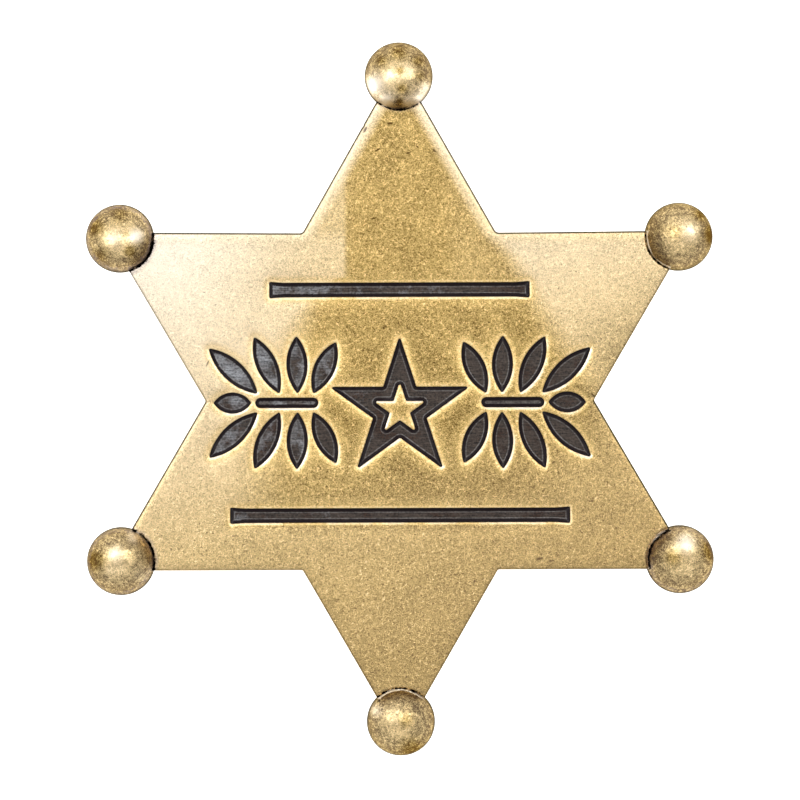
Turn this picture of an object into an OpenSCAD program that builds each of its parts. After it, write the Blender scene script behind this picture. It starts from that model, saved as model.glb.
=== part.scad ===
// Six-pointed star badge with ball tips, inlaid with black enamel, and a pin on its back.
// It lies face up: +Z is up, +Y is the top of the badge as it is worn, and the origin is
// on the surface that it lies on, under the middle of the star.

/* [Star plate] */
// Radius of the circle through the star's six points, before the ball tips cover them
star_r = 33; // [31:0.5:40]
// Thickness of the brass
plate_t = 1.2; // [1:0.1:1.8]

/* [Ball tips] */
// Diameter of each ball tip
ball_d = 6.7; // [6:0.1:8]
// Height of the middle of a ball tip above the back of the plate
ball_lift = 0.35; // [0.1:0.05:0.8]
// How far the middle of a ball tip lies inside the star's point
ball_inset = 1.35; // [0.8:0.05:2]
// Thickness of the metal round the hollow behind a ball tip
ball_wall = 0.8; // [0.5:0.1:1]
// Width of the groove round a ball tip on the plate
moat_w = 0.3; // [0.2:0.05:0.5]
// Depth of that groove
moat_depth = 0.3; // [0.1:0.05:0.4]

/* [Enamel] */
// Depth of the channels stamped in the plate
channel_depth = 0.6; // [0.5:0.05:0.7]
// Depth of the enamel's face under the plate's face
enamel_sink = 0.25; // [0.1:0.05:0.35]
// Gap left round the enamel
enamel_gap = 0.03; // [0.02:0.01:0.06]

/* [Bars] */
// Length of the upper bar
upper_bar_l = 25.5; // [18:0.5:28]
// Height of the upper bar's middle above the star's middle
upper_bar_y = 10.7; // [9.5:0.1:12]
// Length of the lower bar
lower_bar_l = 33.3; // [24:0.1:36]
// Distance of the lower bar's middle below the star's middle
lower_bar_drop = 11.4; // [10:0.1:13]
// Width of both bars at their waist
bar_w = 1.4; // [1:0.05:1.8]
// How far each corner of a bar flares past its waist
bar_flare = 0.1; // [0:0.05:0.2]

/* [Ornament] */
// Height of the band that holds the small star and the two sprays
ornament_h = 13.1; // [11.5:0.1:14]
// Distance of the band's middle below the star's middle
ornament_drop = 0.35; // [0:0.05:0.8]
// Width of the small star's outline
star_line_w = 1.4; // [1:0.05:1.6]
// Room between the small star and each spray
spray_room = 1.6; // [1.3:0.1:2.4]
// Metal left between a spray's tip and the notch of the plate
notch_land = 0.8; // [0.7:0.1:1.6]
// Width of a spray's stem
stem_w = 1; // [0.7:0.05:1.2]
// Greatest width of a leaf
leaf_w = 2.05; // [1.6:0.05:2.2]
// Metal left between a leaf and the stem
leaf_gap = 0.4; // [0.3:0.05:0.6]
// Length of the leaf at the end of a stem
tip_leaf_l = 3.7; // [3.3:0.1:4.4]

/* [Pin] */
// Length of the strip that carries the pin
strip_l = 32; // [28:0.5:38]
// Width of the strip, the hinge and the catch
strip_w = 4.8; // [4.4:0.1:6]
// Thickness of the strip
strip_t = 0.7; // [0.5:0.1:1]
// Distance from the plate's back to the foot of the pin
pin_drop = 4.6; // [4.2:0.1:5.5]
// Diameter of the pin's wire
wire_d = 1; // [0.8:0.1:1.2]
// Thickness of the hinge's cheeks and of the catch's hook
hook_t = 0.7; // [0.5:0.1:0.9]
// Length of the hinge and of the catch along the strip
hook_l = 3.4; // [2.6:0.1:4]
// Length of the wire's point
point_l = 2.4; // [2:0.1:3]
// Diameter of the very end of that point
point_end_d = 0.2; // [0.1:0.05:0.4]
// Height of the wire's eye above the surface that the badge lies on
eye_lift = 0.15; // [0.1:0.05:0.25]
// Gap between the strip and the plate's back
strip_gap = 0.03; // [0.02:0.01:0.06]

/* [Hidden] */
// Cuts run this far past the faces that they open
past = 1;
// Solids that are one piece run this far into each other
bite = 0.05;
round_fn = 96;
brass = "#cdae74";
black = "#26252a";
nickel = "#c9c8c4";

back_z = pin_drop;
front_z = back_z + plate_t;
// Distance from the star's middle to the notches between its arms
notch_r = star_r / sqrt(3);
ball_ring_r = star_r - ball_inset;
ball_r = ball_d / 2;
ball_mid_z = back_z + ball_lift;
// Radius of the ball tip where the plate's face meets it
ball_foot_r = sqrt(ball_r * ball_r - (front_z - ball_mid_z) * (front_z - ball_mid_z));

// A five-pointed star of circumradius r is r * (1 + cos(36)) high
small_star_r = ornament_h / (1 + cos(36));
small_star_y = -ornament_drop - ornament_h / 2 + small_star_r * cos(36);
// The five long lines of the star lie at cos(72) of its radius
small_star_core_r = small_star_r - star_line_w / cos(72);

// A spray runs from the room beside the small star to the land before the plate's notch
spray_start = small_star_r * cos(18) + spray_room;
spray_end = notch_r - notch_land;
stem_l = spray_end - spray_start - tip_leaf_l - leaf_gap;
// A leaf as long as 1 reaches from the stem to the edge of the ornament's band at a lean of 90
leaf_reach = ornament_h / 2 - stem_w / 2 - leaf_gap;
// Pairs of leaves: along is a share of the stem's length, length a share of the reach,
// and lean the angle between leaf and stem
//             along length lean
LEAF_PAIRS = [[0.00, 0.98, 114],
              [0.27, 1.00, 89],
              [0.58, 1.08, 66],
              [0.96, 1.16, 43]];

function on_circle(r, a) = [r * cos(a), r * sin(a)];
// Corners of the plate, which has a point at the top and a notch at each side
function six_star() = [for (i = [0:11]) on_circle(i % 2 == 0 ? notch_r : star_r, 30 * i)];
function five_star(r) =
    [for (i = [0:9]) on_circle(i % 2 == 0 ? r : r * cos(72) / cos(36), 90 + 36 * i)];

// Waisted bar: straight ends, and long sides that draw in by flare at the middle
module bar_outline(length, inset = 0) {
    half = length / 2 - inset;
    waist = bar_w / 2 - inset;
    flare_l = bar_w;
    polygon([for (s = [1, -1]) each [
        [s * half, -s * (waist + bar_flare)],
        [s * half, s * (waist + bar_flare)],
        [s * (half - flare_l), s * waist],
        [-s * (half - flare_l), s * waist]]]);
}

// Pointed leaf from the origin along +X, drawn by two arcs
module leaf_outline(length, inset = 0) {
    arc_r = (length * length + leaf_w * leaf_w) / (4 * leaf_w);
    intersection_for(s = [1, -1])
        translate([length / 2, s * (arc_r - leaf_w / 2)])
            circle(r = arc_r - inset, $fn = round_fn);
}

// Outline of one spray, which grows along +X from its first leaves
module spray_outline(inset = 0) {
    translate([0, -stem_w / 2 + inset])
        square([stem_l - stem_w / 2, stem_w - 2 * inset]);
    for (x = [0, stem_l - stem_w / 2])
        translate([x, 0]) circle(d = stem_w - 2 * inset, $fn = round_fn);
    for (row = LEAF_PAIRS, s = [1, -1])
        translate([row[0] * stem_l, s * (stem_w / 2 + leaf_gap)])
            rotate(s * row[2])
                leaf_outline(leaf_reach * row[1], inset);
    translate([stem_l + leaf_gap, 0]) leaf_outline(tip_leaf_l, inset);
}

module small_star_outline(inset = 0) {
    difference() {
        polygon(five_star(small_star_r - inset / cos(72)));
        polygon(five_star(small_star_core_r + inset / cos(72)));
    }
}

module place_spray(side) {
    mirror([side < 0 ? 1 : 0, 0]) translate([spray_start, -ornament_drop]) children();
}

// Cuts a channel of the child outline into the plate's front
module channel() {
    translate([0, 0, front_z - channel_depth])
        linear_extrude(channel_depth + past) children();
}

// Fills a channel with enamel, clear of its walls and floor
module fill() {
    color(black)
        translate([0, 0, front_z - channel_depth + enamel_gap])
            linear_extrude(channel_depth - enamel_sink - enamel_gap) children();
}

module at_each_point() {
    for (i = [0:5]) rotate(30 + 60 * i) translate([ball_ring_r, 0, 0]) children();
}

// Solid of a ball tip: a round wall that starts below the plate's back by the given
// length, closed by a half sphere
module ball_form(r, below = 0) {
    translate([0, 0, ball_mid_z])
        intersection() {
            sphere(r = r, $fn = round_fn);
            translate([0, 0, r]) cube(2 * r, center = true);
        }
    translate([0, 0, back_z - below]) cylinder(r = r, h = ball_lift + below, $fn = round_fn);
}

module moat() {
    rotate_extrude($fn = round_fn)
        polygon([[ball_foot_r - moat_w, front_z + past],
                 [ball_foot_r - moat_w, front_z - moat_depth],
                 [ball_foot_r + moat_w / 2, front_z - moat_depth],
                 [ball_foot_r + moat_w, front_z + past]]);
}

module star_plate() {
    color(brass)
        difference() {
            union() {
                difference() {
                    translate([0, 0, back_z]) linear_extrude(plate_t) polygon(six_star());
                    at_each_point() moat();
                }
                at_each_point() ball_form(ball_r);
            }
            at_each_point() ball_form(ball_r - ball_wall, below = past);
            channel() translate([0, upper_bar_y]) bar_outline(upper_bar_l);
            channel() translate([0, -lower_bar_drop]) bar_outline(lower_bar_l);
            channel() translate([0, small_star_y]) small_star_outline();
            for (side = [-1, 1]) channel() place_spray(side) spray_outline();
        }
}

module enamel_upper_bar() {
    fill() translate([0, upper_bar_y]) bar_outline(upper_bar_l, enamel_gap);
}

module enamel_lower_bar() {
    fill() translate([0, -lower_bar_drop]) bar_outline(lower_bar_l, enamel_gap);
}

module enamel_small_star() {
    fill() translate([0, small_star_y]) small_star_outline(enamel_gap);
}

module enamel_spray(side) {
    fill() place_spray(side) spray_outline(enamel_gap);
}

// Cheeks that carry the wire's eye, one at each side of the strip
module hinge(strip_z) {
    for (s = [1, -1])
        translate([0, s * (strip_w - hook_t) / 2, (strip_z + bite) / 2])
            cube([hook_l, hook_t, strip_z + bite], center = true);
}

// Hook that runs down from one side of the strip, under the wire and up beside it
module catch(strip_z, wire_z) {
    rotate([90, 0, 90])
        linear_extrude(hook_l, center = true)
            translate([-strip_w / 2, 0]) {
                square([hook_t, strip_z + bite]);
                square([strip_w, hook_t]);
                translate([strip_w - hook_t, 0]) square([hook_t, wire_z + wire_d / 2]);
            }
}

// Straight wire from its eye in the hinge to its point in the catch
module wire(length, eye_r) {
    rotate([90, 0, 0])
        cylinder(r = eye_r, h = strip_w - 2 * hook_t + 2 * bite, center = true, $fn = round_fn);
    rotate([0, 90, 0]) {
        cylinder(d = wire_d, h = length, $fn = round_fn);
        translate([0, 0, length])
            cylinder(d1 = wire_d, d2 = point_end_d, h = point_l, $fn = round_fn);
    }
}

module pin_back() {
    strip_z = back_z - strip_gap - strip_t;
    hook_x = (strip_l - hook_l) / 2;
    wire_z = hook_t - bite + wire_d / 2;
    color(nickel) {
        translate([-strip_l / 2, -strip_w / 2, strip_z]) cube([strip_l, strip_w, strip_t]);
        translate([-hook_x, 0, 0]) hinge(strip_z);
        translate([hook_x, 0, 0]) catch(strip_z, wire_z);
        translate([-hook_x, 0, wire_z]) wire(2 * hook_x, wire_z - eye_lift);
    }
}

star_plate();
enamel_upper_bar();
enamel_lower_bar();
enamel_small_star();
enamel_spray(-1);  // enamel_spray_left
enamel_spray(1);  // enamel_spray_right
pin_back();
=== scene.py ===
# Star badge of antiqued brass with black enamel, lying face up on a light table.
import math

import bpy
import numpy as np
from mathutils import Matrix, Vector, kdtree
from mathutils.geometry import delaunay_2d_cdt


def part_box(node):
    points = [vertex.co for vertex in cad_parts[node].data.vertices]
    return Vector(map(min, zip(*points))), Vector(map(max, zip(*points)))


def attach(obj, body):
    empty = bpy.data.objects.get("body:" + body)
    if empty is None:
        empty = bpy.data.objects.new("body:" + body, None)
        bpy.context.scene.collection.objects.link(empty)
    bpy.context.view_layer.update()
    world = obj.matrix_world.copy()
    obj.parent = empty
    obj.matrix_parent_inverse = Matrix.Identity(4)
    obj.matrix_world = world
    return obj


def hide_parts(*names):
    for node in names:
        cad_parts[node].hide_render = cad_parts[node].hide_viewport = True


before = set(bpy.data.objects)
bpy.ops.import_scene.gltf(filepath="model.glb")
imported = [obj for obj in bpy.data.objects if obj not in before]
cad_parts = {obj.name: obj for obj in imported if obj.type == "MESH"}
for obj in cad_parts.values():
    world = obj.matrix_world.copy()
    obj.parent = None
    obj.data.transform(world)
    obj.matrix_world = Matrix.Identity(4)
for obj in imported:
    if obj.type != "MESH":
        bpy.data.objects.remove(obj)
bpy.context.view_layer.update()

mm = 0.001
measureStep = 0.02   # mm, between the points of a loop that distances are measured to
rng = np.random.default_rng(7)

plateLow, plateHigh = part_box("star_plate")
enamelLow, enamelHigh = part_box("enamel_small_star")
backZ = plateLow.z / mm


# Outlines, in millimetres, counter-clockwise, each an array of points

def onCircle(radius, degrees, centre=(0, 0)):
    angle = math.radians(degrees)
    return np.array([centre[0] + radius * math.cos(angle), centre[1] + radius * math.sin(angle)])


def arcPoints(centre, radius, start, end, step):
    count = max(3, math.ceil(abs(math.radians(end - start)) * radius / step))
    return [onCircle(radius, start + (end - start) * i / count, centre) for i in range(count + 1)]


# Arc that rounds a corner, no longer than half of each edge
def roundedCorner(previous, corner, following, radius, step):
    before, after = previous - corner, following - corner
    beforeLength, afterLength = np.linalg.norm(before), np.linalg.norm(after)
    before, after = before / beforeLength, after / afterLength
    half = math.acos(np.clip(before @ after, -1, 1)) / 2
    reach = min(radius / math.tan(half), beforeLength / 2, afterLength / 2)
    bend = reach * math.tan(half)
    middle = corner + (before + after) / np.linalg.norm(before + after) * bend / math.sin(half)
    start, end = corner + before * reach, corner + after * reach
    first = math.atan2(*(start - middle)[::-1])
    turn = (math.atan2(*(end - middle)[::-1]) - first + math.pi) % (2 * math.pi) - math.pi
    return arcPoints(middle, bend, math.degrees(first), math.degrees(first + turn), step)


# Loop with its corners rounded and its straights cut into steps
def roundedLoop(corners, radius, step):
    corners = [np.array(c, float) for c in corners]
    loop = []
    for i, corner in enumerate(corners):
        following = corners[(i + 1) % len(corners)]
        loop += roundedCorner(corners[i - 1], corner, following, radius, step / 3)
    return spacedLoop(loop, step)


# Adds points along the long edges of a loop and drops those that fall together
def spacedLoop(loop, step):
    spaced = []
    for i, point in enumerate(loop):
        after = loop[(i + 1) % len(loop)]
        length = np.linalg.norm(after - point)
        if length < 0.01:
            continue
        count = max(1, round(length / step))
        spaced += [point + (after - point) * k / count for k in range(count)]
    return np.array(spaced)


# Unit normals of a loop, to its right, so outward on a counter-clockwise one
def loopNormals(loop):
    along = np.roll(loop, -1, 0) - np.roll(loop, 1, 0)
    along /= np.linalg.norm(along, axis=1)[:, None]
    return np.stack([along[:, 1], -along[:, 0]], 1)


def isInside(points, loops):
    inside = np.zeros(len(points), bool)
    for loop in loops:
        low, high = loop.min(0), loop.max(0)
        near = np.where(((points >= low) & (points <= high)).all(1))[0]
        x, y = points[near, 0][:, None], points[near, 1][:, None]
        x0, y0 = loop[:, 0], loop[:, 1]
        x1, y1 = np.roll(x0, -1), np.roll(y0, -1)
        crosses = (y0 > y) != (y1 > y)
        rise = np.where(y1 == y0, 1, y1 - y0)
        crosses &= x < (x1 - x0) * (y - y0) / rise + x0
        inside[near] ^= (crosses.sum(1) % 2).astype(bool)
    return inside


def pointTree(points):
    tree = kdtree.KDTree(len(points))
    for i, p in enumerate(points):
        tree.insert((p[0], p[1], 0), i)
    tree.balance()
    return tree


# For each point, how far the nearest of some loops is, and that loop's normal there
def nearestEdge(loops, points):
    dense = [spacedLoop(loop, measureStep) for loop in loops]
    normals = np.concatenate([loopNormals(loop) for loop in dense])
    tree = pointTree(np.concatenate(dense))
    found = [tree.find((p[0], p[1], 0)) for p in points]
    return np.array([f[2] for f in found]), normals[[f[1] for f in found]]


def gapTo(loops, points):
    return nearestEdge(loops, points)[0]


# Keeps the points of later groups that are clear of the earlier ones; each group is (points, room)
def mergeGroups(groups):
    merged = []
    for points, room in groups:
        if merged:
            tree = pointTree(np.concatenate(merged))
            points = np.array([p for p in points if tree.find((p[0], p[1], 0))[2] > room])
        if len(points):
            merged.append(points)
    return np.concatenate(merged)


def circlePoints(radius, turns, centre=(0, 0), shift=0):
    return [onCircle(radius, 360 * (t + shift) / turns, centre) for t in range(turns)]


# Rows of points beside some loops, outside them where the gap is above zero, and clear of them all
def rowsBeside(loops, gaps, sparseFrom=math.inf):
    rows = []
    for gap in gaps:
        row = np.concatenate([loop + loopNormals(loop) * gap for loop in loops])
        if gap > sparseFrom:
            row = row[::2]
        rows.append(row[gapTo(loops, row) > abs(gap) * 0.97])
    return np.concatenate(rows)


# Grid of points, with every other row shifted
def gridPoints(low, high, stepX, stepY, shift=0):
    xs, ys = np.meshgrid(np.arange(low[0], high[0], stepX), np.arange(low[1], high[1], stepY))
    xs[::2] += shift
    return np.stack([xs.ravel(), ys.ravel()], 1)


# Triangles over all points inside the outlines, with every loop kept as a chain of edges. The last
# list has a 1 for each triangle that lies inside an inner loop.
def triangulate(outlines, inner, loose):
    corners, chain = [], []
    for loop in outlines + inner:
        first = len(corners)
        corners += [Vector(p) for p in loop]
        chain += [(first + i, first + (i + 1) % len(loop)) for i in range(len(loop))]
    corners += [Vector(p) for p in loose]
    result = delaunay_2d_cdt(corners, chain, [], 0, 1e-7, False)
    flat, triangles = [np.array([tuple(row) for row in result[i]]) for i in (0, 2)]
    triangles = triangles[isInside(flat[triangles].mean(1), outlines)]
    return flat, triangles, isInside(flat[triangles].mean(1), inner).astype(int)


# Builds one mesh from flat triangulations that are lifted to heights and joined by upright walls
class Lift:
    def __init__(self):
        self.points = []
        self.faces = []

    # Lifts one sheet. Triangles carry a region each, and each region has its own heights, so
    # a wall stands where two regions meet. Returns the border edges for joinBorders.
    def addSheet(self, flat, triangles, regions, heights, facesDown=False):
        ids = {}
        start = len(self.faces)

        def corner(vertex, region):
            key = (vertex, region)
            if key not in ids:
                ids[key] = len(self.points)
                self.points.append((flat[vertex][0], flat[vertex][1], heights[region][vertex]))
            return ids[key]

        edges = {}
        for triangle, region in zip(triangles.tolist(), regions.tolist()):
            self.faces.append([corner(v, region) for v in triangle])
            for i in range(3):
                edges[(triangle[i], triangle[(i + 1) % 3])] = region
        border = []
        for (a, b), region in edges.items():
            other = edges.get((b, a))
            if other is None:
                border.append((ids[(a, region)], ids[(b, region)]))
            elif region < other:
                self.faces.append([ids[(b, region)], ids[(a, region)],
                                   ids[(a, other)], ids[(b, other)]])
        if facesDown:
            for i in range(start, len(self.faces)):
                self.faces[i].reverse()
        return border

    # Walls between the border of an upper sheet and that of a lower one with the same outline
    def joinBorders(self, upper, lower):
        def key(i):
            return round(self.points[i][0], 4), round(self.points[i][1], 4)

        below = {key(i): i for edge in lower for i in edge}
        for a, b in upper:
            self.faces.append([b, a, below[key(a)], below[key(b)]])

    def makeObject(self, name, sharpAngle=35):
        mesh = bpy.data.meshes.new(name)
        mesh.from_pydata([(x * mm, y * mm, z * mm) for x, y, z in self.points], [], self.faces)
        mesh.validate()
        mesh.shade_smooth()
        mesh.set_sharp_from_angle(angle=math.radians(sharpAngle))
        piece = bpy.data.objects.new(name, mesh)
        bpy.context.collection.objects.link(piece)
        return piece


def addAttribute(piece, name, values):
    layer = piece.data.attributes.new(name, "FLOAT", "POINT")
    layer.data.foreach_set("value", np.asarray(values, np.float32))


# Shapes that the plate and the enamel share

star = {
    "radius": 33.0,        # circle through the six points
    "ballInset": 1.35,     # middle of a ball tip, in from the point
    "notchRound": (0.25, 0.45, 0.45, 0.25, 0.2, 0.2),   # softening of each notch, from the right one round
    "grow": 0.16,          # the edge stands out by half of this from the solid's
    "drop": 0.17,          # the star sits this low between its ball tips
    "notchSink": (0.12, 0.16, 0.16, 0.12, 0.0, 0.0),   # extra depth of each notch, from the right one round
    "nick": (-3.46, 26.6), # dent in the left edge of the top arm
    "nickReach": 0.24,
    "nickDepth": 0.16,
}
notchRadius = star["radius"] / math.sqrt(3)
ballRing = star["radius"] - star["ballInset"]
ballRadius = plateHigh.y / mm - ballRing
ballMidZ = plateHigh.z / mm - ballRadius
ballCentres = [onCircle(ballRing, 30 + 60 * i) for i in range(6)]

ink = {
    "upperBar": (25.5, 10.7),     # length, middle above the star's middle
    "lowerBar": (33.3, -11.4),
    "barWidth": 1.4,
    "barFlare": 0.1,
    "ornamentHeight": 13.1,
    "ornamentDrop": 0.35,
    "starLine": 1.4,
    "sprayRoom": 1.6,             # small star to spray
    "notchLand": 0.8,             # spray to notch
    "stemWidth": 1.0,
    "leafWidth": 2.05,
    "leafGap": 0.4,
    "tipLeaf": 3.7,
    "cornerRound": 0.13,          # no punch has knife-sharp corners
    "step": 0.18,                 # spacing of outline points
}
# Pairs of leaves: share of the stem, share of the reach, angle from the stem
leafPairs = [(0.00, 0.98, 114), (0.27, 1.00, 89), (0.58, 1.08, 66), (0.96, 1.16, 43)]
smallStarRadius = ink["ornamentHeight"] / (1 + math.cos(math.radians(36)))
smallStarY = (-ink["ornamentDrop"] - ink["ornamentHeight"] / 2
              + smallStarRadius * math.cos(math.radians(36)))


def barLoop(length, middle):
    half, waist, flare = length / 2, ink["barWidth"] / 2, ink["barFlare"]
    shoulder = half - ink["barWidth"]
    corners = []
    for s in (1, -1):
        corners += [(s * half, -s * (waist + flare) + middle), (s * half, s * (waist + flare) + middle),
                    (s * shoulder, s * waist + middle), (-s * shoulder, s * waist + middle)]
    return roundedLoop(corners, ink["cornerRound"], ink["step"])


def fiveStarLoop(radius):
    valley = radius * math.cos(math.radians(72)) / math.cos(math.radians(36))
    corners = [onCircle(valley if i % 2 else radius, 90 + 36 * i, (0, smallStarY)) for i in range(10)]
    return roundedLoop(corners, ink["cornerRound"], ink["step"])


# Leaf from the origin along +X, two arcs with blunt ends
def leafLoop(length):
    blunt = ink["cornerRound"]
    width = ink["leafWidth"]
    radius = (length ** 2 + width ** 2) / (4 * width)
    sink = radius - width / 2
    reach = math.sqrt((radius - blunt) ** 2 - sink ** 2)
    lean = math.degrees(math.atan2(sink, reach))
    middle = length / 2
    loop = (arcPoints((middle + reach, 0), blunt, -lean, lean, ink["step"] / 3)
            + arcPoints((middle, -sink), radius, lean, 180 - lean, ink["step"])
            + arcPoints((middle - reach, 0), blunt, 180 - lean, 180 + lean, ink["step"] / 3)
            + arcPoints((middle, sink), radius, 180 + lean, 360 - lean, ink["step"]))
    return spacedLoop(loop, ink["step"])


def sprayLoops(side):
    start = smallStarRadius * math.cos(math.radians(18)) + ink["sprayRoom"]
    end = notchRadius - ink["notchLand"]
    stem = end - start - ink["tipLeaf"] - ink["leafGap"]
    half = ink["stemWidth"] / 2
    reach = ink["ornamentHeight"] / 2 - half - ink["leafGap"]
    stemCorners = [(-half, -half), (stem, -half), (stem, half), (-half, half)]
    loops = [roundedLoop(stemCorners, half, ink["step"]),
             leafLoop(ink["tipLeaf"]) + (stem + ink["leafGap"], 0)]
    for along, length, lean in leafPairs:
        for s in (1, -1):
            turn = math.radians(s * lean)
            spin = np.array([[math.cos(turn), math.sin(turn)], [-math.sin(turn), math.cos(turn)]])
            loops.append(leafLoop(reach * length) @ spin + (along * stem, s * (half + ink["leafGap"])))
    loops = [loop + (start, -ink["ornamentDrop"]) for loop in loops]
    if side < 0:
        loops = [(loop * (-1, 1))[::-1] for loop in loops]
    return loops


# Five long lines of the small star lie at cos(72) of its radius
coreRadius = smallStarRadius - ink["starLine"] / math.cos(math.radians(72))
channels = {
    "enamel_upper_bar": [barLoop(*ink["upperBar"])],
    "enamel_lower_bar": [barLoop(*ink["lowerBar"])],
    "enamel_small_star": [fiveStarLoop(smallStarRadius), fiveStarLoop(coreRadius)[::-1]],
    "enamel_spray_left": sprayLoops(-1),
    "enamel_spray_right": sprayLoops(1),
}
channelLoops = [loop for loops in channels.values() for loop in loops]


# Star plate: one stamped brass sheet with its six ball tips

plate = {
    "faceZ": enamelHigh.z / mm + 0.25,   # the enamel's solid lies 0.25 under the face
    "channelZ": enamelLow.z / mm - 0.03,
    "step": 0.3,                # spacing of points along the star's edges
    "edgeRoll": 0.8,            # width of the edge that the press rolled over
    "edgeDrop": 0.09,
    "edgePower": 2.4,
    "edgeRound": 0.1,
    "lip": 0.24,                # width of the rounding at the channels
    "lipDrop": 0.06,
    "lipLitSide": (0.6, -0.8),     # which side of a channel gets the brightest painted highlight
    "lipHighlight": (0.3, 0.7),     # how much a lip faces there: no painted highlight, full painted highlight
    "sag": 0.07,                # metal drawn down beside the channels
    "sagReach": 0.75,
    "moatReach": 0.18,          # groove round a ball tip
    "moatDepth": 0.12,
    "wall": 0.8,                # metal round the hollow behind a ball tip
    "footRings": (0.19, 0, 0, 0.05, 0.2, 0.21),   # flange at the foot of each ball tip
    "footWave": 0.3,            # how uneven it is
    "footRise": 0.14,
    # painted highlight on the flange at the foot of a ball tip
    "footHighlight": 0.9,
    "paintedLightFall": 2.2,             # how steeply the painted highlights and shade on the ball tips fade
    "sole": 0.16,               # width of the dark line at a ball's outer foot
    "soot": (-0.01, 0.02, 0.08, 0.06, 0.01, 0.05),   # how far black spreads from the groove of each ball
    "sootAt": (0.05, 0.05, 0.05, 0.05, 0.05, -0.19),   # middle of that black, out from the ball's foot
    # Points of the front: rings on a dome and round its foot, rows beside the channels and along the
    # edge, and a jittered grid over the rest
    "ballRings": 20,
    "ballTurns": 72,
    "ballTurnsLeast": 12,
    "ballTurnsPower": 0.8,
    "ballRingsEnd": -0.28,
    "footRows": (-0.24, -0.2, -0.16, -0.12, -0.06, 0, 0.06, 0.12, 0.19, 0.27, 0.38, 0.55),
    "footTurns": 90,
    "channelRows": (0.04, 0.08, 0.13, 0.19, 0.27, 0.4, 0.6, 0.9, 1.3),
    "sparseFrom": 0.2,          # every other point is enough from here
    "edgeRows": (0.025, 0.06, 0.1, 0.2, 0.38, 0.6, 0.85, 1.1, 1.4),
    "edgeRowsFrom": 0.1,
    "fill": 0.75,
    "fillRows": 0.866,          # rows of the grid stand closer than its columns
    "fillJitter": 0.12,
    "fillFrom": 0.6,
    "rooms": (0, 0.02, 0.012, 0.02, 0.3375),   # least distance from the groups before
    # Points of the back
    "hollowRings": 14,
    "hollowTurns": 52,
    "hollowTurnsLeast": 8,
    "backFill": (1.6, 1.4),
    "backReach": 32,
    "backInside": 0.96,
}
# Each ball was drawn by hand press, so its crown leans a little: right and up, as a share of its radius
ballLean = [(0.12, 0.02), (0.06, -0.13), (-0.08, -0.20), (-0.06, 0.07), (-0.20, 0.02), (0.13, 0.26)]
# Painted highlights (+) and painted shade (-) on a ball tip: ball, right, up, reach as shares of its radius,
# amount
ballPaintedLights = [
    (1, 0.0, -0.1, 1.4, 0.12), (2, 0.0, 0.0, 1.2, 0.05),
    (0, 0.27, 0.14, 0.4, 0.4), (0, 0.97, 0.05, 0.36, -0.6), (0, -0.7, 0.2, 0.5, -0.1),
    (0, -0.12, 0.1, 0.26, -0.2), (0, 0.6, 0.6, 0.3, -0.3),
    (1, 0.32, 0.13, 0.24, 0.25), (1, -0.25, 0.0, 0.22, 0.15), (1, 0.04, 0.1, 0.14, -0.6),
    (1, -0.74, -0.3, 0.4, 1.3), (1, 0.6, -0.72, 0.3, 1.2), (1, 0.0, 0.62, 0.36, -0.4),
    (1, 0.55, 0.38, 0.3, -0.35), (1, -0.5, 0.4, 0.3, -0.35), (1, 0.1, -0.42, 0.24, -0.45),
    (1, 0.62, -0.05, 0.26, -0.3), (1, 0.82, -0.4, 0.28, 0.8), (1, -0.36, -0.76, 0.3, 1.3),
    (1, 0.28, -0.82, 0.22, 1.0), (1, 0.02, -0.8, 0.14, -0.7),
    (2, -0.11, -0.02, 0.34, 0.4), (2, 0.54, 0.05, 0.28, 1.2), (2, -0.66, 0.3, 0.4, -0.35),
    (2, -0.5, -0.5, 0.35, -0.25), (2, 0.05, 0.66, 0.4, -0.25), (2, 0.35, -0.4, 0.22, -0.5),
    (2, 0.26, 0.1, 0.12, -0.3),
    (3, -0.09, 0.27, 0.28, 0.6), (3, -0.15, -0.15, 0.5, 0.15), (3, 0.45, 0.76, 0.26, 0.9),
    (3, -0.68, 0.05, 0.4, -0.4), (3, 0.7, -0.4, 0.4, 0.2),
    (4, -0.23, 0.3, 0.4, 0.12), (4, -0.74, 0.37, 0.26, 0.6), (4, 0.3, -0.75, 0.45, -0.35),
    (4, 0.15, 0.1, 0.3, -0.25),
    (5, 0.12, 0.53, 0.36, 1.0), (5, 0.92, 0.28, 0.36, -0.7), (5, -0.25, 0.08, 0.3, -0.35),
]
grooveRadius = math.sqrt(ballRadius ** 2 - (plate["faceZ"] - plate["moatDepth"] - ballMidZ) ** 2)
print("Outlines ready")


def starPoint(i):
    return onCircle(star["radius"] + star["grow"], 30 + 60 * i, (0, -star["drop"]))


def notchPoint(i):
    reach = (star["radius"] + star["grow"]) / math.sqrt(3) - star["notchSink"][i % 6]
    return onCircle(reach, 60 * i, (0, -star["drop"]))


# Where the edge from a notch to a point runs into the point's ball tip
def edgeMeetsBall(notch, i):
    along = starPoint(i) - notch
    along /= np.linalg.norm(along)
    off = notch - ballCentres[i % 6]
    back = along @ off
    return notch - along * (back + math.sqrt(back ** 2 - off @ off + ballRadius ** 2))


def withNick(loop):
    away = np.linalg.norm(loop - star["nick"], axis=1)
    dent = star["nickDepth"] * np.clip(1 - away / star["nickReach"], 0, 1)
    return loop - loopNormals(loop) * dent[:, None]


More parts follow.
